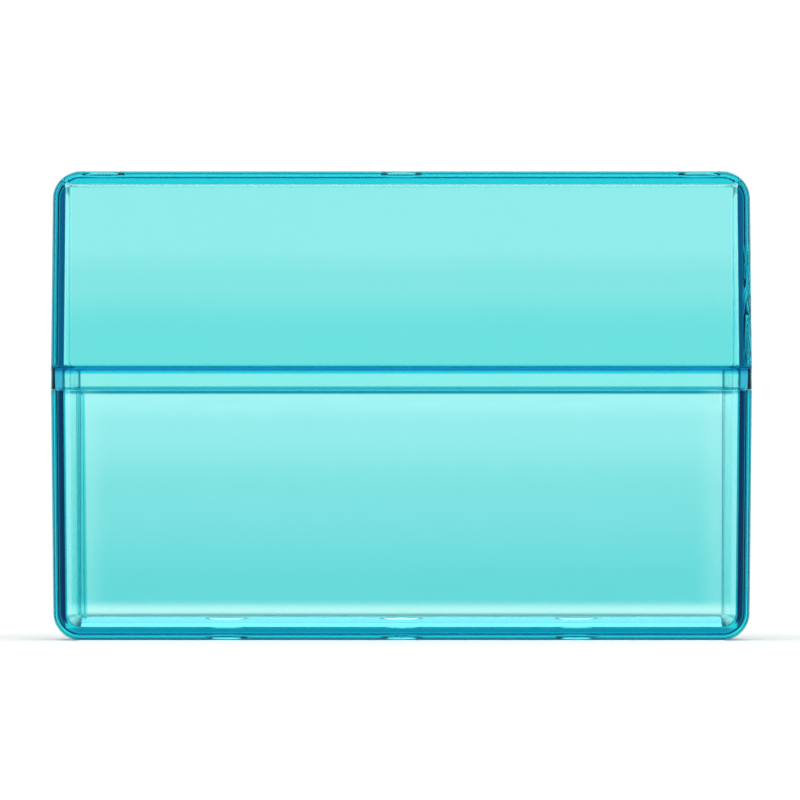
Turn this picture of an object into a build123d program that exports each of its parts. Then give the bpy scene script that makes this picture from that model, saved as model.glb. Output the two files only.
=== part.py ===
"""Clear two-piece card box: a base with a standing lip, and a lid that lifts off it.

Millimetres, +Z up, front towards -Y. The origin is the centre of the base's underside.
"""
import math
import os

from build123d import *

os.makedirs("parts", exist_ok=True)

# Overall size. Width and depth are those at the joint, where both halves are widest.
box_width = 96.0
box_depth = 21.0
box_height = 64.2
joint_height = 34.3
draft = 0.6

# Wall thicknesses: the two short ends, the front and back, and the floor and roof.
end_wall = 1.7
face_wall = 1.5
floor_wall = 1.65

# Outer roundings: the four corners seen from the front, the edges around the front and
# back faces, and the thin outer edges where the halves meet.
corner_radius = 3.8
edge_radius = 1.4
rim_radius = 0.2

# Inner roundings. The base's inside is soft all round, the lid's is nearly square.
base_upright_radius = 2.8
base_floor_radius = 2.1
lid_upright_radius = 1.0
lid_roof_radius = 0.6

# Joint: the base's lip stands in a rebate cut into the lid's rim.
lip_height = 2.8
lip_thickness = 0.7
lip_corner_radius = 2.0
lip_tip_radius = 0.28
joint_gap = 0.1
rebate_height = 3.1
rebate_root_radius = 0.25
shoulder_radius = 0.45

# Friction ribs: two shallow upright swellings on the outside of each short end of the lip.
friction_rib_width = 0.9
friction_rib_rise = 0.07
friction_rib_height = 2.1
friction_rib_spacing = 5.0

# Guide rib that keeps the cards over to one end of the base.
guide_rib_reach = 2.8
guide_rib_thickness = 1.3
guide_rib_tip_radius = 0.6
guide_rib_drop = 0.3
guide_rib_root = 0.2

# Round dishes with curved sides, three under the base and three on top of the lid. The
# middle one under the base holds the nub left where the plastic entered the mould.
dish_radius = 3.0
dish_floor_radius = 2.35
dish_depth = 0.8
base_dish_spacing = 24.0
lid_dish_spacing = 40.8
gate_nub_radius = 0.9
gate_nub_height = 0.35

# Oval thumb scoop on the lid's right-hand end.
scoop_height = 46.4
scoop_length = 16.8
scoop_breadth = 12.0
scoop_depth = 0.5

# Sizes that follow from those above.
slope = math.tan(math.radians(draft))
cavity_width = box_width - 2 * end_wall
cavity_depth = box_depth - 2 * face_wall
joint_plane = Plane.XY.offset(joint_height)
underside = Plane(origin=(0, 0, 0), x_dir=(1, 0, 0), z_dir=(0, 0, -1))
top_side = Plane.XY.offset(box_height)


def on_level(shape, height):
    """Edges of a shape that lie wholly at one height."""
    return shape.edges().filter_by_position(Axis.Z, height - 0.01, height + 0.01)


def shallow_arc_radius(chord, rise):
    """Radius of the arc that rises so far above a chord of this length."""
    return (chord**2 / 4 + rise**2) / (2 * rise)


def tapered_view(plane, full_width, end_height):
    """Outline of one half of the box on an upright plane, narrowing towards end_height."""
    wide = full_width / 2
    narrow = wide - abs(end_height - joint_height) * slope
    with BuildSketch(plane) as view:
        with BuildLine():
            Polyline(
                (-wide, joint_height),
                (wide, joint_height),
                (narrow, end_height),
                (-narrow, end_height),
                close=True,
            )
        make_face()
    return view.sketch


def outer_block(end_height):
    """Solid half of the box with draft and rounded edges, from the joint to end_height."""
    with BuildPart() as block:
        extrude(tapered_view(Plane.XZ, box_width, end_height), amount=box_depth, both=True)
        fillet(on_level(block, end_height).filter_by(Axis.Y), corner_radius)
        side_view = tapered_view(Plane.YZ, box_depth, end_height)
        extrude(side_view, amount=box_width, both=True, mode=Mode.INTERSECT)
        faces = block.faces().sort_by(Axis.Y)
        outline = faces[0].edges() + faces[-1].edges()
        fillet(outline - on_level(block, joint_height), edge_radius)
        fillet(on_level(block, joint_height), rim_radius)
    return block.part


def cavity_block(end_height, upright_radius, end_radius):
    """The space inside one half, from the joint to its inner floor or roof."""
    with BuildPart() as cavity:
        with BuildSketch(joint_plane):
            RectangleRounded(cavity_width, cavity_depth, upright_radius)
        extrude(amount=end_height - joint_height, taper=draft)
        fillet(on_level(cavity, end_height), end_radius)
    return cavity.part


def rim_band(offset, corner):
    """Plan of the cavity grown outwards by an offset, at the joint."""
    with BuildSketch(joint_plane) as plan:
        RectangleRounded(cavity_width + 2 * offset, cavity_depth + 2 * offset, corner)
    return plan.sketch


def dish_row(face_plane, spacing):
    """Three plugs in a row along the width, which sink the dishes into an outer face."""
    with BuildPart() as plug:
        with BuildSketch(Plane.XZ):
            with BuildLine():
                side = TangentArc(
                    (dish_floor_radius, -dish_depth), (dish_radius, 0), tangent=(1, 0)
                )
                Polyline(side @ 1, (0, 0), (0, -dish_depth), side @ 0)
            make_face()
        revolve(axis=Axis.Z)
    with BuildPart(face_plane) as row:
        with GridLocations(spacing, 1, 3, 1):
            add(plug.part)
    return row.part


def guide_rib_block():
    """Upright rib inside the left end wall, from the floor to just under the joint."""
    top = joint_height - guide_rib_drop
    foot = floor_wall - guide_rib_root
    inner_wall = cavity_width / 2
    with BuildPart() as rib:
        with BuildSketch(Plane.XZ):
            with BuildLine():
                Polyline(
                    (-inner_wall - guide_rib_root, top),
                    (guide_rib_reach - inner_wall, top),
                    (guide_rib_reach - inner_wall + (top - foot) * slope, foot),
                    (-inner_wall - guide_rib_root, foot),
                    close=True,
                )
            make_face()
        extrude(amount=guide_rib_thickness / 2, both=True)
        tip = rib.faces().sort_by(Axis.X)[-1]
        tip_edges = tip.edges() - on_level(rib, foot)
        fillet(tip_edges, guide_rib_tip_radius)
    return rib.part


def scoop_block():
    """Barrel standing beside the lid, whose side dips into the end wall as an oval scoop."""
    wall = box_width / 2 - (scoop_height - joint_height) * slope
    deepest = wall - scoop_depth
    barrel_axis = deepest + shallow_arc_radius(scoop_breadth, scoop_depth)
    arc_radius = shallow_arc_radius(scoop_length, scoop_depth)
    half_sweep = math.degrees(math.asin(scoop_length / arc_radius))
    with BuildPart() as barrel:
        with BuildSketch(Plane.XZ):
            with BuildLine():
                arc = CenterArc(
                    (deepest + arc_radius, scoop_height), arc_radius, 180 - half_sweep, 2 * half_sweep
                )
                Polyline(
                    arc @ 1,
                    (barrel_axis, (arc @ 1).Y),
                    (barrel_axis, (arc @ 0).Y),
                    arc @ 0,
                )
            make_face()
        revolve(axis=Axis((barrel_axis, 0, 0), (0, 0, 1)))
    return barrel.part


base_block = outer_block(0)
base_cavity = cavity_block(floor_wall, base_upright_radius, base_floor_radius)
base_dishes = dish_row(underside, base_dish_spacing)
lid_block = outer_block(box_height)
lid_cavity = cavity_block(box_height - floor_wall, lid_upright_radius, lid_roof_radius)
lid_dishes = dish_row(top_side, lid_dish_spacing)
scoop = scoop_block()
guide_rib = guide_rib_block()

# Base shell: the block and its soft-cornered inside, the lip, the ribs and the dishes.
with BuildPart() as base_shell:
    add(base_block)
    extrude(rim_band(lip_thickness, lip_corner_radius), amount=lip_height)
    fillet(on_level(base_shell, joint_height + lip_height), lip_tip_radius)
    add(base_cavity, mode=Mode.SUBTRACT)
    extrude(rim_band(0, base_upright_radius), amount=lip_height, mode=Mode.SUBTRACT)
    fillet(on_level(base_shell, joint_height + lip_height), lip_tip_radius)
    with BuildSketch(joint_plane):
        with GridLocations(cavity_width + 2 * lip_thickness, friction_rib_spacing, 2, 2):
            Ellipse(friction_rib_rise, friction_rib_width / 2)
    extrude(amount=friction_rib_height)
    add(guide_rib)
    add(base_dishes, mode=Mode.SUBTRACT)
    with BuildSketch(Plane.XY.offset(dish_depth)):
        Circle(gate_nub_radius)
    extrude(amount=-gate_nub_height)

# Lid shell: the block and its nearly square inside, the rebate, the dishes and the scoop.
with BuildPart() as lid_shell:
    add(lid_block)
    add(lid_cavity, mode=Mode.SUBTRACT)
    rebate = rim_band(lip_thickness + joint_gap, lip_corner_radius + joint_gap)
    extrude(rebate, amount=rebate_height, mode=Mode.SUBTRACT)
    rebate_top = joint_height + rebate_height
    shoulder = lid_shell.faces().filter_by_position(Axis.Z, rebate_top, rebate_top)[0]
    fillet(shoulder.inner_wires()[0].edges(), shoulder_radius)
    shoulder = lid_shell.faces().filter_by_position(Axis.Z, rebate_top, rebate_top)[0]
    fillet(shoulder.outer_wire().edges(), rebate_root_radius)
    add(lid_dishes, mode=Mode.SUBTRACT)
    add(scoop, mode=Mode.SUBTRACT)

base_shell.part.label = "base_shell"
export_step(base_shell.part, "parts/base_shell.step")
lid_shell.part.label = "lid_shell"
export_step(lid_shell.part, "parts/lid_shell.step")
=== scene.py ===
"""Clear teal two-piece card box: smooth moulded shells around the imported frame."""
import math

import bmesh
import bpy
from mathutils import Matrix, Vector


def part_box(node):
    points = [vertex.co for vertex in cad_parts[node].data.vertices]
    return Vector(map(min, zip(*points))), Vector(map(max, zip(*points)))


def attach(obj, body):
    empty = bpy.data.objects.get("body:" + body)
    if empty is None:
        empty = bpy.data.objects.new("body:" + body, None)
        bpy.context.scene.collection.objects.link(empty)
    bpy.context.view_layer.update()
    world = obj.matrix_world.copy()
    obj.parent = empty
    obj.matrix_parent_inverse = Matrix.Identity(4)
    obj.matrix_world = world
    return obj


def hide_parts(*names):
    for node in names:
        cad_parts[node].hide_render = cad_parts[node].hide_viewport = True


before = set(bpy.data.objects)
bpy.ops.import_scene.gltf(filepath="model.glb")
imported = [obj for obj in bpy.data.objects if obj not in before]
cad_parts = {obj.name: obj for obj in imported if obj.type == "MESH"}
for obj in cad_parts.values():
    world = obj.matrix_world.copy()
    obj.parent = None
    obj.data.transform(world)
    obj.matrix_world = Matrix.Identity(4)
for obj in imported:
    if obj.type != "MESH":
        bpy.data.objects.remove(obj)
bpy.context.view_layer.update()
_, base_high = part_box("base_shell")
lid_low, lid_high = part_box("lid_shell")

MM = 0.001

# Overall places, read from the frame.
HALF_WIDTH = base_high.x
HALF_DEPTH = base_high.y
JOINT = lid_low.z
TOP = lid_high.z
LIP_TOP = base_high.z

# Walls, draft and roundings of the mouldings.
SLOPE = math.tan(math.radians(0.6))
END_WALL = 1.7 * MM
FACE_WALL = 1.5 * MM
FLOOR_WALL = 1.65 * MM
CORNER_RADIUS = 3.8 * MM
EDGE_RADIUS = 1.4 * MM
RIM_RADIUS = 0.2 * MM
BASE_UPRIGHT_RADIUS = 2.8 * MM
BASE_FLOOR_RADIUS = 2.1 * MM
LID_UPRIGHT_RADIUS = 1.0 * MM
LID_ROOF_RADIUS = 0.6 * MM

# The lip and the rebate it stands in.
LIP_THICKNESS = 0.7 * MM
LIP_CORNER_RADIUS = 2.0 * MM
LIP_TIP_RADIUS = 0.28 * MM
JOINT_GAP = 0.1 * MM
REBATE_HEIGHT = 3.1 * MM
REBATE_ROOT_RADIUS = 0.25 * MM
SHOULDER_RADIUS = 0.45 * MM
RIM_CLEARANCE = 0.02 * MM

# Small features.
RIB_REACH = 2.8 * MM
RIB_THICKNESS = 1.3 * MM
RIB_TIP_RADIUS = 0.6 * MM
RIB_DROP = 0.3 * MM
RIB_OVERLAP = 0.2 * MM
FRICTION_RIB_WIDTH = 0.9 * MM
FRICTION_RIB_RISE = 0.07 * MM
FRICTION_RIB_HEIGHT = 2.1 * MM
FRICTION_RIB_SPACING = 5.0 * MM
FRICTION_RIB_ROOT = 0.1 * MM
DISH_RADIUS = 3.0 * MM
DISH_FLOOR_RADIUS = 2.35 * MM
DISH_DEPTH = 0.8 * MM
DISH_OVERSHOOT = 0.004 * MM
DISH_TOOL_RISE = 1.0 * MM
BASE_DISH_SPACING = 24.0 * MM
LID_DISH_SPACING = 40.8 * MM
GATE_NUB_RADIUS = 0.9 * MM
GATE_NUB_TIP_RADIUS = GATE_NUB_RADIUS * 0.7
GATE_NUB_HEIGHT = 0.35 * MM
SCOOP_HEIGHT = 46.4 * MM
SCOOP_LENGTH = 16.8 * MM
SCOOP_BREADTH = 12.0 * MM
SCOOP_DEPTH = 0.5 * MM
SCOOP_MARGIN = 0.5 * MM
SCOOP_ROUNDNESS = 1.3

# Ripples of the scoop: their depth, how fast they repeat along and across it, how far and
# how fast they bend, and how much of them the inner face of the wall follows.
RIPPLE_DEPTH = 0.45 * MM
RIPPLE_RATE_ALONG = 6
RIPPLE_RATE_ACROSS = 2.5
RIPPLE_BEND = 1.5
RIPPLE_BEND_RATE = 4
SWELL_SHARE = 0.5

# Light: brightness of the surroundings by direction, then the sun, the floor and the pad.
# Each zone says how far a direction leans sideways or upwards where its level begins and
# is full. The sun's spread and tilt are in degrees.
PANEL_GLOW = 1.2
PANEL_ZONE = (0.08, 0.3)
SIDE_LEVEL = 1.0
SIDE_ZONE = (0.45, 0.8)
OVERHEAD_LEVEL = 0.6
OVERHEAD_ZONE = (0.35, 0.7)
BACKDROP_WHITE = 1.05
SUN_POWER = 1.6
SUN_SPREAD = 50
SUN_TILT = 35
FLOOR_HALF_SIZE = 500.0
FLOOR_DROP = 0.02 * MM
FLOOR_WHITE = 0.75
FLOOR_GLOW = 0.17
PAD_DROP = 0.01 * MM
PAD_MARGIN = 2 * MM
PAD_WHITE = 0.8
PAD_GLOW = 1.9
LIGHT_BOUNCES = 32
GLOSSY_BOUNCES = 16

# Camera: lens and sensor in millimetres, how wide it frames, and the picture's middle.
LENS = 800
SENSOR_WIDTH = 36
FRAMING = 109.4 * MM
FRAMING_MIDDLE = 32.9 * MM
CAMERA_OFFSET = -0.2 * MM
VIEW_DISTANCE = 1000

# Plastic: how it bends light, what it absorbs inside, and how its surface reflects.
PLASTIC_IOR = 1.5
ABSORPTION_COLOUR = (0.5, 0.945, 0.965, 1)
ABSORPTION_DENSITY = 400
REFLECTION_TINT = (0.1, 0.45, 0.55, 1)

# Colours laid over the places that are seen edge-on or through several layers. On the
# walls and lip ends they are partly the plastic's depth of colour and partly painted shade;
# on the outer roundings, foot, sole and rib they are painted shade; the palest is a
# painted glow.
BASE_WALL_DEPTH_AND_SHADE = (0.1, 0.03, 0.12)
LID_WALL_DEPTH_AND_SHADE = (0.1, 0.14, 0.3)
LIP_END_DEPTH_AND_SHADE = (0.01, 0.24, 0.42)
RIM_PAINTED_SHADE = (0.15, 0.55, 0.62)
FOOT_PAINTED_SHADE = (0.2, 0.42, 0.56)
SOLE_PAINTED_SHADE = (0.1, 0.3, 0.45)
RIB_PAINTED_SHADE = (0.5, 0.9, 0.93)
PAINTED_GLOW = (0.9, 0.98, 0.95)

# Where those tints begin and are full: places first, then how squarely a surface faces
# front or back, or the ends.
WALL_ZONE = (HALF_WIDTH - END_WALL - 0.08 * MM, HALF_WIDTH - END_WALL + 0.02 * MM)
PAINTED_SIDE_GLOW_ZONE = (40 * MM, 43.5 * MM)
LIP_ZONE = (3.1 * MM, 3.3 * MM)
OUTSIDE_ZONE = (HALF_WIDTH - 0.8 * MM, HALF_WIDTH - 0.7 * MM)
FOOT_ZONE = (1.6 * MM, 1.75 * MM)
SOLE_ZONE = (0.2 * MM, 0.45 * MM)
RIB_SIDES = (0.7 * MM, 0.8 * MM)
RIB_ROOT = (46.2 * MM, 46.1 * MM)
RIB_TIP = -43.0 * MM
FACING_FRONT = (0.88, 0.97)
FACING_FRONT_AT_FOOT = (0.86, 0.97)
FACING_FRONT_AT_LIP = (0.2, 0.5)
ROUNDING_BEGINS = (0.7, 0.8)
ROUNDING_ENDS = (0.97, 0.995)

# Surface detail: flow streaks, uneven polish, rubbed roundings and a slight unevenness.
# Each zone says between which values of its noise, or of its facing, the detail comes up.
FLOW_SCALE = 55.0
STREAK_ZONE = (0.45, 0.75)
FLOW_STREAKS = 0.12
FLOW_TINT = (0.86, 0.97, 0.97)
POLISH_ZONE = (0.35, 0.7)
POLISH_LOW = 0.005
POLISH_HIGH = 0.03
SCUFF_SCALE = 900.0
SCUFF_ZONE = (0.5, 0.7)
WEAR_BEGINS = (0.2, 0.6)
WEAR_ENDS = (0.8, 0.98)
EDGE_WEAR = 0.08
BUMP_STRENGTH = 0.3
BUMP_HEIGHT = 0.02 * MM

# How finely the surfaces are divided.
ARC_STEPS = 12
CORNER_STEPS = 28
END_STEPS = 64
FACE_STEPS = 48
ROUND_STEPS = 6
INNER_ROWS = 72
BASE_ROWS = 24
LID_ROWS = 96
TURN_STEPS = 96
FRICTION_RIB_STEPS = 24

# Edges that turn more sharply than this, in degrees, are shaded as edges.
SHARP_ANGLE = 38


def quarter(steps):
    """(sine, cosine) pairs through a quarter turn, both ends included."""
    return [
        (math.sin(math.pi / 2 * i / steps), math.cos(math.pi / 2 * i / steps))
        for i in range(steps + 1)
    ]


def spread(low, high, steps):
    """Evenly spaced values strictly between two ends."""
    return [low + (high - low) * i / steps for i in range(1, steps)]


def ring(half_x, half_y, radius, z):
    """Rounded rectangle: left end front to back, back face, right end, front face."""
    turn = quarter(ARC_STEPS)
    straight_x, straight_y = half_x - radius, half_y - radius
    left = [(-straight_x - radius * c, -straight_y - radius * s) for s, c in reversed(turn)]
    left += [(-half_x, y) for y in spread(-straight_y, straight_y, END_STEPS)]
    left += [(x, -y) for x, y in reversed(left[:ARC_STEPS + 1])]
    right = [(-x, y) for x, y in reversed(left)]
    back = [(x, half_y) for x in spread(-straight_x, straight_x, FACE_STEPS)]
    front = [(-x, -half_y) for x, _ in back]
    return [(x, y, z) for x, y in left + back + right + front]


class Skin:
    """A closed mesh grown ring by ring."""

    def __init__(self):
        self.points = []
        self.faces = []

    def add(self, points):
        """Adds points and gives back their numbers."""
        start = len(self.points)
        self.points += points
        return list(range(start, len(self.points)))

    def bridge(self, a, b, closed=True):
        """Faces between two rows of points, joined end to end where they are closed rings."""
        pairs = range(len(a)) if closed else range(len(a) - 1)
        for i in pairs:
            j = (i + 1) % len(a)
            self.faces.append((a[i], a[j], b[j], b[i]))

    def mesh(self, name):
        """The finished mesh, with its faces turned outwards."""
        data = bpy.data.meshes.new(name)
        data.from_pydata(self.points, [], self.faces)
        build = bmesh.new()
        build.from_mesh(data)
        bmesh.ops.recalc_face_normals(build, faces=build.faces)
        build.to_mesh(data)
        build.free()
        return data


def side_outline(height, rows):
    """Front view of a half, down one side, over its end and back: ((x, drop), inward normal)."""
    tilt = math.atan(SLOPE)
    centre_drop = height - CORNER_RADIUS
    centre_x = -HALF_WIDTH + centre_drop * SLOPE + CORNER_RADIUS / math.cos(tilt)
    tangent_drop = centre_drop + CORNER_RADIUS * math.sin(tilt)
    outline = []
    for i in range(rows):
        drop = RIM_RADIUS + (tangent_drop - RIM_RADIUS) * i / rows
        outline.append(((-HALF_WIDTH + drop * SLOPE, drop), (1, 0)))
    for i in range(CORNER_STEPS + 1):
        angle = tilt + (math.pi / 2 - tilt) * i / CORNER_STEPS
        inward = (math.cos(angle), -math.sin(angle))
        x = centre_x - CORNER_RADIUS * inward[0]
        drop = centre_drop - CORNER_RADIUS * inward[1]
        outline.append(((x, drop), inward))
    end = [((x, height), (0, -1)) for x in spread(centre_x, -centre_x, FACE_STEPS)]
    mirrored = [((-x, drop), (-nx, ny)) for (x, drop), (nx, ny) in reversed(outline)]
    return outline + end + mirrored


def outer_skin(skin, height, way, rows):
    """Outside of a half, from the joint (way is -1 down, 1 up), and the ring at its rim."""

    def place(point, inward, inset, y_sign, y_inset):
        x = point[0] + inward[0] * inset
        drop = point[1] + inward[1] * inset
        half_depth = HALF_DEPTH - drop * SLOPE
        return (x, y_sign * (half_depth - y_inset), JOINT + way * drop)

    sections = []
    for point, inward in side_outline(height, rows):
        front = [
            place(point, inward, EDGE_RADIUS * (1 - c), -1, EDGE_RADIUS * (1 - s))
            for s, c in reversed(quarter(ARC_STEPS))
        ]
        back = [(x, -y, z) for x, y, z in reversed(front)]
        flat = [
            (front[-1][0], y, front[-1][2]) for y in spread(front[-1][1], back[0][1], END_STEPS)
        ]
        sections.append(skin.add(front + flat + back))
    for a, b in zip(sections, sections[1:]):
        skin.bridge(a, b, closed=False)
    first, last = sections[0], sections[-1]
    half_x = HALF_WIDTH - RIM_RADIUS * SLOPE
    half_y = HALF_DEPTH - RIM_RADIUS * SLOPE
    z = JOINT + way * RIM_RADIUS
    back_x = spread(EDGE_RADIUS - half_x, half_x - EDGE_RADIUS, FACE_STEPS)
    back = skin.add([(x, half_y, z) for x in back_x])
    front = skin.add([(-x, -half_y, z) for x in back_x])
    skin.faces.append([s[0] for s in sections] + front)
    skin.faces.append([s[-1] for s in sections] + back[::-1])
    rim = first + back + last[::-1] + front
    for s, c in quarter(ROUND_STEPS // 2)[1:]:
        o = RIM_RADIUS * (1 - c)
        lifted = skin.add(
            ring(half_x - o, half_y - o, EDGE_RADIUS - o, JOINT + way * RIM_RADIUS * (1 - s))
        )
        skin.bridge(rim, lifted)
        rim = lifted
    return rim


def follow(skin, rim, rings):
    """Continues a skin through a list of rings, given as (half_x, half_y, radius, z)."""
    for size in rings:
        lifted = skin.add(ring(*size))
        skin.bridge(rim, lifted)
        rim = lifted
    return rim


def cavity_rings(height, way, radius, end_radius):
    """Inside of a half below its mouth: drafted walls, end fillet and the flat end."""
    half_x = HALF_WIDTH - END_WALL
    half_y = HALF_DEPTH - FACE_WALL
    end_drop = height - FLOOR_WALL
    rings = []
    for s, c in quarter(ROUND_STEPS * 2):
        drop = end_drop - end_radius * (1 - s)
        inset = drop * SLOPE + end_radius * (1 - c)
        rings.append((half_x - inset, half_y - inset, radius - inset, JOINT + way * drop))
    return rings


def base_mesh():
    """Base: outside, rim, lip, inside and floor as one closed skin."""
    skin = Skin()
    rim = outer_skin(skin, JOINT, -1, BASE_ROWS)
    inner_x, inner_y = HALF_WIDTH - END_WALL, HALF_DEPTH - FACE_WALL
    rings = [(inner_x + LIP_THICKNESS, inner_y + LIP_THICKNESS, LIP_CORNER_RADIUS, JOINT)]
    for s, c in quarter(ROUND_STEPS):
        o = LIP_THICKNESS - LIP_TIP_RADIUS * (1 - c)
        rings.append(
            (inner_x + o, inner_y + o, LIP_CORNER_RADIUS, LIP_TOP - LIP_TIP_RADIUS * (1 - s))
        )
    for s, c in reversed(quarter(ROUND_STEPS)):
        o = LIP_TIP_RADIUS * (1 - c)
        rings.append(
            (inner_x + o, inner_y + o, BASE_UPRIGHT_RADIUS + o, LIP_TOP - LIP_TIP_RADIUS * (1 - s))
        )
    rings.append((inner_x, inner_y, BASE_UPRIGHT_RADIUS, JOINT))
    rings += cavity_rings(JOINT, -1, BASE_UPRIGHT_RADIUS, BASE_FLOOR_RADIUS)
    skin.faces.append(follow(skin, rim, rings))
    return skin.mesh("base_shell_moulding")


def lid_mesh():
    """Lid: outside, rim, rebate, shoulder, inside and roof as one closed skin."""
    skin = Skin()
    rim = outer_skin(skin, TOP - JOINT, 1, LID_ROWS)
    mouth = LIP_THICKNESS + JOINT_GAP
    inner_x, inner_y = HALF_WIDTH - END_WALL, HALF_DEPTH - FACE_WALL
    corner = LIP_CORNER_RADIUS + JOINT_GAP
    rings = [(inner_x + mouth, inner_y + mouth, corner, JOINT)]
    shelf = JOINT + REBATE_HEIGHT
    for s, c in quarter(ROUND_STEPS):
        o = mouth - REBATE_ROOT_RADIUS * (1 - c)
        rings.append(
            (inner_x + o, inner_y + o, corner, shelf - REBATE_ROOT_RADIUS * (1 - s))
        )
    for s, c in reversed(quarter(ROUND_STEPS)):
        inset = (REBATE_HEIGHT + SHOULDER_RADIUS * (1 - s)) * SLOPE
        o = SHOULDER_RADIUS * (1 - c) - inset
        rings.append(
            (inner_x + o, inner_y + o, LID_UPRIGHT_RADIUS + o, shelf + SHOULDER_RADIUS * (1 - s))
        )
    upper = cavity_rings(TOP - JOINT, 1, LID_UPRIGHT_RADIUS, LID_ROOF_RADIUS)
    low, high = Vector(rings[-1]), Vector(upper[0])
    rings += [tuple(low.lerp(high, i / INNER_ROWS)) for i in range(1, INNER_ROWS)] + upper
    skin.faces.append(follow(skin, rim, rings))
    return skin.mesh("lid_shell_moulding")


def prism(outline, low, high):
    """Upright closed mesh over a plan outline."""
    skin = Skin()
    bottom = skin.add([(x, y, low) for x, y in outline])
    top = skin.add([(x, y, high) for x, y in outline])
    skin.bridge(bottom, top)
    skin.faces += [bottom, top[::-1]]
    return skin.mesh("tool")


def turned(profile, centre):
    """Closed mesh turned about an upright axis; the profile runs from axis to axis."""
    skin = Skin()
    rings = []
    for radius, z in profile[1:-1]:
        angles = [2 * math.pi * i / TURN_STEPS for i in range(TURN_STEPS)]
        rings.append(
            skin.add([(centre + radius * math.cos(a), radius * math.sin(a), z) for a in angles])
        )
    for a, b in zip(rings, rings[1:]):
        skin.bridge(a, b)
    skin.faces += [rings[0], rings[-1][::-1]]
    return skin.mesh("tool")


def guide_rib():
    """Upright rib on the left inner wall, with a round tip, from floor to just below the joint."""
    wall = END_WALL - HALF_WIDTH
    foot, head = FLOOR_WALL - RIB_OVERLAP, JOINT - RIB_DROP
    skin = Skin()
    rings = []
    for z in [foot] + [head - RIB_TIP_RADIUS * (1 - s) for s, _ in quarter(ROUND_STEPS)]:
        pull = RIB_TIP_RADIUS - math.sqrt(
            max(0, RIB_TIP_RADIUS**2 - max(0, z - head + RIB_TIP_RADIUS) ** 2)
        )
        tip = wall + RIB_REACH + (JOINT - z) * SLOPE - pull
        half = RIB_THICKNESS / 2 - pull / 2
        turn = quarter(ROUND_STEPS)
        nose = min(RIB_TIP_RADIUS, half)
        near = [(tip - nose * (1 - s), -(half - nose) - nose * c) for s, c in turn]
        outline = [(wall - RIB_OVERLAP, -half)] + near + [(x, -y) for x, y in reversed(near[:-1])]
        outline.append((wall - RIB_OVERLAP, half))
        rings.append(skin.add([(x, y, z) for x, y in outline]))
    for a, b in zip(rings, rings[1:]):
        skin.bridge(a, b)
    skin.faces += [rings[0], rings[-1][::-1]]
    return skin.mesh("tool")


def friction_ribs():
    """Four shallow swellings on the outside of the lip's short ends."""
    reach = HALF_WIDTH - END_WALL + LIP_THICKNESS
    tools = []
    for side in (-1, 1):
        for y in (-FRICTION_RIB_SPACING / 2, FRICTION_RIB_SPACING / 2):
            outline = []
            for i in range(FRICTION_RIB_STEPS):
                angle = 2 * math.pi * i / FRICTION_RIB_STEPS
                outline.append(
                    (
                        side * reach + FRICTION_RIB_RISE * math.cos(angle),
                        y + FRICTION_RIB_WIDTH / 2 * math.sin(angle),
                    )
                )
            tools.append(prism(outline, JOINT - FRICTION_RIB_ROOT, JOINT + FRICTION_RIB_HEIGHT))
    return tools


def dish(centre, face, way, nub=False):
    """Round dish with curved sides sunk into the floor or roof; way points into the wall.

    Its widest ring stands a hair outside the face, so that no ring lies in the face's plane.
    """
    floor = face + way * DISH_DEPTH
    rise = DISH_DEPTH + DISH_OVERSHOOT
    side = DISH_RADIUS - DISH_FLOOR_RADIUS
    profile = [(0, floor)]
    if nub:
        nub_top = floor - way * GATE_NUB_HEIGHT
        profile = [(0, nub_top), (GATE_NUB_TIP_RADIUS, nub_top), (GATE_NUB_RADIUS, floor)]
    profile += [
        (DISH_FLOOR_RADIUS + side * s, floor - way * rise * (1 - c))
        for s, c in quarter(ROUND_STEPS)
    ]
    mouth = face - way * DISH_TOOL_RISE
    profile += [(DISH_RADIUS, mouth), (0, mouth)]
    return turned(profile, centre)


def cut(mesh, tools, operation):
    """Joins tools to a mesh or cuts them out of it."""
    body = bpy.data.objects.new("work", mesh)
    bpy.context.scene.collection.objects.link(body)
    helpers = []
    for data in tools:
        helper = bpy.data.objects.new("tool", data)
        bpy.context.scene.collection.objects.link(helper)
        step = body.modifiers.new("step", "BOOLEAN")
        step.operation = operation
        step.solver = "EXACT"
        step.object = helper
        helpers.append(helper)
    depsgraph = bpy.context.evaluated_depsgraph_get()
    result = bpy.data.meshes.new_from_object(body.evaluated_get(depsgraph))
    for helper in helpers + [body]:
        bpy.data.objects.remove(helper)
    return result


def sink_scoop(mesh):
    """Presses the oval thumb scoop, with its slanting ripples, into the lid's right end."""
    for vertex in mesh.vertices:
        x, y, z = vertex.co
        if x < HALF_WIDTH - END_WALL - SCOOP_MARGIN:
            continue
        across = y / (SCOOP_BREADTH / 2)
        along = (z - SCOOP_HEIGHT) / (SCOOP_LENGTH / 2)
        reach = across**2 + along**2
        if reach >= 1:
            continue
        bend = RIPPLE_BEND * math.sin(RIPPLE_BEND_RATE * along - across)
        wave = math.sin(RIPPLE_RATE_ALONG * along + RIPPLE_RATE_ACROSS * across + bend)
        ripple = wave * RIPPLE_DEPTH * (1 - reach)
        if x > HALF_WIDTH - END_WALL / 2:
            vertex.co.x -= SCOOP_DEPTH * (1 - reach) ** SCOOP_ROUNDNESS + ripple
        else:
            vertex.co.x -= SWELL_SHARE * (RIPPLE_DEPTH * (1 - reach) + ripple)


def piece(name, mesh, body, node, material):
    """Shows a finished mesh in place of a CAD node, riding on that node's body."""
    obj = bpy.data.objects.new(name, mesh)
    bpy.context.scene.collection.objects.link(obj)
    mesh.name = name
    for polygon in mesh.polygons:
        polygon.use_smooth = True
    mesh.set_sharp_from_angle(angle=math.radians(SHARP_ANGLE))
    even = obj.modifiers.new("flat faces stay flat", "WEIGHTED_NORMAL")
    even.mode = "FACE_AREA"
    even.weight = 100
    even.keep_sharp = True
    mesh.materials.clear()
    mesh.materials.append(material)
    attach(obj, body)
    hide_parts(node)


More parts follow.
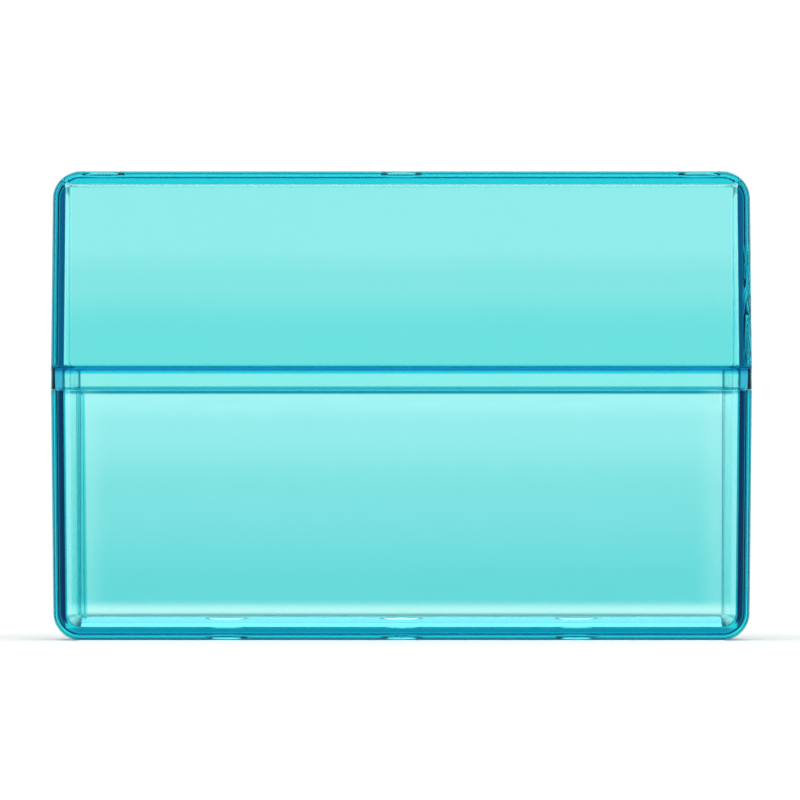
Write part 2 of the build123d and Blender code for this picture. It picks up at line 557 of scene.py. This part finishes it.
def glowing_sheet(name, material_name, half_x, half_y, drop, white, glow):
    """Flat sheet just below the box's underside, and its shader."""
    corners = [(-half_x, -half_y), (half_x, -half_y), (half_x, half_y), (-half_x, half_y)]
    data = bpy.data.meshes.new(name)
    data.from_pydata([(x, y, -drop) for x, y in corners], [], [(0, 1, 2, 3)])
    obj = bpy.data.objects.new(name, data)
    bpy.context.scene.collection.objects.link(obj)
    material = bpy.data.materials.new(material_name)
    material.use_nodes = True
    shader = material.node_tree.nodes["Principled BSDF"]
    shader.inputs["Base Color"].default_value = (white, white, white, 1)
    shader.inputs["Emission Color"].default_value = (1, 1, 1, 1)
    shader.inputs["Emission Strength"].default_value = glow
    data.materials.append(material)
    return obj, shader


def floor():
    """Pale matt floor that reaches the horizon, which is level with the joint."""
    obj, shader = glowing_sheet(
        "floor", "pale_floor", FLOOR_HALF_SIZE, FLOOR_HALF_SIZE, FLOOR_DROP, FLOOR_WHITE, FLOOR_GLOW
    )
    shader.inputs["Roughness"].default_value = 1.0
    shader.inputs["Specular IOR Level"].default_value = 0.0


def light_pad():
    """Small glowing pad under the box, which lights its floor from below."""
    half_x, half_y = HALF_WIDTH - CORNER_RADIUS, HALF_DEPTH - PAD_MARGIN
    obj, _ = glowing_sheet(
        "light_pad", "light_pad", half_x, half_y, PAD_DROP, PAD_WHITE, PAD_GLOW
    )


class Graph:
    """Small helper that wires up the nodes of a material or a world."""

    def __init__(self, tree):
        self.tree = tree

    def add(self, kind, **inputs):
        """New node, with a value or a link for each named input."""
        node = self.tree.nodes.new(kind)
        for name, value in inputs.items():
            self.feed(node.inputs[name.replace("_", " ")], value)
        return node

    def feed(self, socket, value):
        """Links an output to a socket, or sets the socket's own value."""
        if isinstance(value, bpy.types.NodeSocket):
            self.tree.links.new(value, socket)
        else:
            socket.default_value = value

    def maths(self, operation, a, b=0.0):
        """Result of an operation on one or two values."""
        node = self.add("ShaderNodeMath")
        node.operation = operation
        self.feed(node.inputs[0], a)
        self.feed(node.inputs[1], b)
        return node.outputs[0]

    def fade(self, value, start, full, low=0.0, high=1.0):
        """Goes smoothly from low to high as the size of a value goes from start to full."""
        node = self.add(
            "ShaderNodeMapRange",
            Value=self.maths("ABSOLUTE", value),
            From_Min=start, From_Max=full, To_Min=low, To_Max=high,
        )
        node.interpolation_type = "SMOOTHSTEP"
        return node.outputs["Result"]

    def both(self, a, b):
        """Product of two values; of two amounts, full only where both are."""
        return self.maths("MULTIPLY", a, b)

    def parts(self, vector):
        """The three values of a vector."""
        return self.add("ShaderNodeSeparateXYZ", Vector=vector).outputs

    def tint(self, colour, amount, by, how="MULTIPLY"):
        """Colour multiplied by another one, or mixed with it, by an amount from 0 to 1."""
        node = self.add("ShaderNodeMixRGB", Fac=amount, Color1=colour, Color2=(*by, 1))
        node.blend_type = how
        return node.outputs["Color"]


def teal_and_painted_light_by_height(graph, z, tints):
    """Colour by height; tints are (height in mm, colour) stops."""
    low, high = tints[0][0], tints[-1][0]
    height = graph.add("ShaderNodeMapRange", Value=z, From_Min=low * MM, From_Max=high * MM)
    ramp = graph.add("ShaderNodeValToRGB", Fac=height.outputs["Result"])
    ramp.color_ramp.interpolation = "EASE"
    stops = ramp.color_ramp.elements
    while len(stops) < len(tints):
        stops.new(0.5)
    for stop, (level, colour) in zip(stops, tints):
        stop.position = (level - low) / (high - low)
        stop.color = (*colour, 1)
    return ramp.outputs["Color"]


def shade_and_glow_by_place(graph, colour, place, wall_depth_and_shade, painted_side_glow):
    """Lays the paler side glow and the deeper tints over a colour.

    The deeper tints are those of the walls, lip ends, roundings, foot, sole and rib.
    On the walls and lip ends they are partly the plastic's depth of colour and partly
    painted shade; on the roundings, foot, sole and rib they are painted shade. The paler
    side glow is a painted glow.
    """
    x, y, z = graph.parts(place.outputs["Object"])
    facing_x, facing_y, _ = graph.parts(place.outputs["Normal"])
    # Painted glow: the ends are made paler, as if lit through their upright fillets.
    glow = graph.fade(x, *PAINTED_SIDE_GLOW_ZONE, high=painted_side_glow)
    colour = graph.tint(colour, glow, PAINTED_GLOW, "MIX")

    # Walls and lip ends seen edge-on: a deeper tint, partly the plastic's depth of colour and
    # partly painted shade.
    above_joint = graph.maths("SUBTRACT", z, JOINT)
    lip_zone = graph.both(
        graph.fade(above_joint, *LIP_ZONE, 1, 0),
        graph.maths("GREATER_THAN", above_joint, 0.0),
    )
    draft = graph.both(graph.maths("ABSOLUTE", above_joint), SLOPE)
    reach = graph.maths("ADD", graph.maths("ABSOLUTE", x), draft)
    at_end = graph.fade(reach, *WALL_ZONE)
    flat = graph.fade(facing_y, *FACING_FRONT)
    wall = graph.both(graph.both(at_end, flat), graph.maths("SUBTRACT", 1.0, lip_zone))
    colour = graph.tint(colour, wall, wall_depth_and_shade)
    lip_end = graph.both(graph.both(at_end, lip_zone), graph.fade(facing_y, *FACING_FRONT_AT_LIP))
    colour = graph.tint(colour, lip_end, LIP_END_DEPTH_AND_SHADE)

    # Painted shade on the outer roundings of the ends.
    rounding = graph.both(
        graph.fade(facing_x, *ROUNDING_BEGINS), graph.fade(facing_x, *ROUNDING_ENDS, 1, 0)
    )
    colour = graph.tint(colour, graph.both(rounding, graph.fade(x, *OUTSIDE_ZONE)), RIM_PAINTED_SHADE)
    # Painted shade: the front and back faces made darker just above the bottom, and the sole below.
    foot = graph.both(
        graph.fade(z, *FOOT_ZONE, 1, 0), graph.fade(facing_y, *FACING_FRONT_AT_FOOT)
    )
    colour = graph.tint(colour, foot, FOOT_PAINTED_SHADE)
    colour = graph.tint(colour, graph.fade(z, *SOLE_ZONE, 1, 0), SOLE_PAINTED_SHADE)
    # Painted shade: the guide rib is made darker.
    rib = graph.both(
        graph.both(graph.fade(y, *RIB_SIDES, 1, 0), graph.fade(x, *RIB_ROOT)),
        graph.maths("LESS_THAN", x, RIB_TIP),
    )
    return graph.tint(colour, rib, RIB_PAINTED_SHADE)


def surface_detail(graph, colour, place, shader):
    """Flow streaks in the colour, uneven polish, rubbed roundings and slight unevenness."""
    position = place.outputs["Object"]
    _, facing_y, _ = graph.parts(place.outputs["Normal"])
    flow = graph.add("ShaderNodeTexNoise", Vector=position, Scale=FLOW_SCALE, Detail=1.0)
    streaks = graph.both(graph.fade(flow.outputs["Fac"], *STREAK_ZONE), FLOW_STREAKS)
    graph.feed(shader.inputs["Base Color"], graph.tint(colour, streaks, FLOW_TINT))

    roundings = graph.both(
        graph.fade(facing_y, *WEAR_BEGINS), graph.fade(facing_y, *WEAR_ENDS, 1, 0)
    )
    scuffs = graph.add("ShaderNodeTexNoise", Vector=position, Scale=SCUFF_SCALE, Detail=1.0)
    rubbed = graph.both(graph.fade(scuffs.outputs["Fac"], *SCUFF_ZONE), roundings)
    polish = graph.fade(flow.outputs["Fac"], *POLISH_ZONE, POLISH_LOW, POLISH_HIGH)
    rough = graph.maths("ADD", polish, graph.both(rubbed, EDGE_WEAR))
    graph.feed(shader.inputs["Roughness"], rough)

    bump = graph.add(
        "ShaderNodeBump",
        Height=flow.outputs["Fac"], Strength=BUMP_STRENGTH, Distance=BUMP_HEIGHT,
    )
    graph.feed(shader.inputs["Normal"], bump.outputs["Normal"])


def clear_plastic(name, tints, wall_depth_and_shade, painted_side_glow):
    """Tinted see-through plastic; tints are (height in mm, colour) stops.

    The walls are seen edge-on from the front, through their whole depth, so their
    front and back edges carry a deeper tint than the broad faces: partly the plastic's
    own depth of colour, partly painted shade.
    """
    material = bpy.data.materials.new(name)
    material.use_nodes = True
    graph = Graph(material.node_tree)
    nodes = material.node_tree.nodes
    shader = nodes["Principled BSDF"]
    shader.inputs["Transmission Weight"].default_value = 1.0
    shader.inputs["IOR"].default_value = PLASTIC_IOR
    shader.inputs["Specular Tint"].default_value = REFLECTION_TINT

    place = graph.add("ShaderNodeTexCoord")
    _, _, z = graph.parts(place.outputs["Object"])
    # The height stops carry the plastic's own teal with painted light and shade laid by height.
    colour = teal_and_painted_light_by_height(graph, z, tints)
    colour = shade_and_glow_by_place(graph, colour, place, wall_depth_and_shade, painted_side_glow)
    surface_detail(graph, colour, place, shader)

    absorb = graph.add(
        "ShaderNodeVolumeAbsorption", Color=ABSORPTION_COLOUR, Density=ABSORPTION_DENSITY
    )
    graph.feed(nodes["Material Output"].inputs["Volume"], absorb.outputs["Volume"])
    return material


def build_base():
    """Lower half, with its guide rib, friction swellings and floor dishes."""
    dishes = [dish(x, 0, 1, nub=x == 0) for x in (-BASE_DISH_SPACING, 0, BASE_DISH_SPACING)]
    mesh = cut(base_mesh(), [guide_rib()] + friction_ribs(), "UNION")
    mesh = cut(mesh, dishes, "DIFFERENCE")
    # Height stops for the plastic's own teal with painted light and shade over it: a painted glow
    # low down, lighter towards the top as painted light from above, and a painted dark line at the
    # joint.
    deep, middle, pale = (0.48, 0.835, 0.825), (0.588, 0.87, 0.857), (0.805, 0.985, 0.96)
    upper, line = (0.71, 0.92, 0.905), (0.04, 0.52, 0.62)
    tints = [
        (0, PAINTED_GLOW), (4.1, PAINTED_GLOW), (5.5, deep), (6.9, deep), (19, middle),
        (29.5, upper), (33.7, pale), (33.85, line), (34.3, line), (34.35, pale), (37.1, pale),
    ]
    plastic = clear_plastic("base_plastic", tints, BASE_WALL_DEPTH_AND_SHADE, painted_side_glow=0.25)
    piece("base_shell_moulding", mesh, "base", "base_shell", plastic)


def build_lid():
    """Upper half, with its thumb scoop and roof dishes, a hair clear of the base's rim."""
    mesh = lid_mesh()
    for vertex in mesh.vertices:
        vertex.co.z = max(vertex.co.z, JOINT + RIM_CLEARANCE)
    sink_scoop(mesh)
    dishes = [dish(x, TOP, -1) for x in (-LID_DISH_SPACING, 0, LID_DISH_SPACING)]
    mesh = cut(mesh, dishes, "DIFFERENCE")
    # Height stops for the plastic's own teal with painted light and shade over it: a painted dark
    # line at the joint, painted highlight stripes (cyan) and a painted shade stripe (blue) round
    # the rebate's shoulder, and lighter towards the top as painted light from above.
    deep, middle, pale = (0.52, 0.893, 0.874), (0.642, 0.92, 0.9), (0.712, 0.948, 0.927)
    lip, line = (0.8, 0.945, 0.935), (0.12, 0.62, 0.72)
    cyan, blue = (0.2, 0.8, 0.92), (0.02, 0.34, 0.6)
    tints = [
        (34.3, line), (34.55, line), (34.65, lip), (36.4, lip), (36.5, cyan), (36.8, cyan),
        (36.9, blue), (37.3, blue), (37.4, cyan), (37.75, cyan), (37.85, deep),
        (42, deep), (49.1, middle), (54.6, pale), (64.2, pale),
    ]
    plastic = clear_plastic("lid_plastic", tints, LID_WALL_DEPTH_AND_SHADE, painted_side_glow=0.0)
    piece("lid_shell_moulding", mesh, "lid", "lid_shell", plastic)


def studio():
    """White to the camera, while its light is brighter at a slant and dimmer from overhead.

    The soft sun shines from above, on the photograph's side.
    """
    world = bpy.data.worlds.new("studio")
    bpy.context.scene.world = world
    world.use_nodes = True
    graph = Graph(world.node_tree)
    background = world.node_tree.nodes["Background"]
    background.inputs["Color"].default_value = (1, 1, 1, 1)
    place = graph.add("ShaderNodeTexCoord")
    x, _, z = graph.parts(place.outputs["Generated"])
    light = graph.fade(x, *PANEL_ZONE, 1, PANEL_GLOW)
    side = graph.fade(x, *SIDE_ZONE, 1, SIDE_LEVEL / PANEL_GLOW)
    above = graph.fade(z, *OVERHEAD_ZONE, 1, OVERHEAD_LEVEL)
    light = graph.both(graph.both(light, side), above)
    seen = graph.add("ShaderNodeLightPath")
    pick = graph.add(
        "ShaderNodeMix", Factor=seen.outputs["Is Camera Ray"], A=light, B=BACKDROP_WHITE
    )
    graph.feed(background.inputs["Strength"], pick.outputs["Result"])

    data = bpy.data.lights.new("soft_sun", "SUN")
    data.energy = SUN_POWER
    data.angle = math.radians(SUN_SPREAD)
    obj = bpy.data.objects.new("soft_sun", data)
    bpy.context.scene.collection.objects.link(obj)
    obj.rotation_euler = (math.radians(SUN_TILT), 0, 0)


def camera():
    """Long lens level with the joint, as wide as the framing needs."""
    data = bpy.data.cameras.new("camera")
    data.lens = LENS
    data.sensor_width = SENSOR_WIDTH
    data.clip_end = VIEW_DISTANCE
    data.shift_y = (FRAMING_MIDDLE - JOINT) / FRAMING
    distance = FRAMING * LENS / SENSOR_WIDTH
    obj = bpy.data.objects.new("camera", data)
    bpy.context.scene.collection.objects.link(obj)
    obj.location = (CAMERA_OFFSET, -distance - HALF_DEPTH, JOINT)
    obj.rotation_euler = (math.pi / 2, 0, 0)
    bpy.context.scene.camera = obj


build_base()
build_lid()
floor()
light_pad()
studio()
camera()

scene = bpy.context.scene
scene.view_settings.view_transform = "Standard"
scene.cycles.max_bounces = LIGHT_BOUNCES
scene.cycles.transmission_bounces = LIGHT_BOUNCES
scene.cycles.glossy_bounces = GLOSSY_BOUNCES
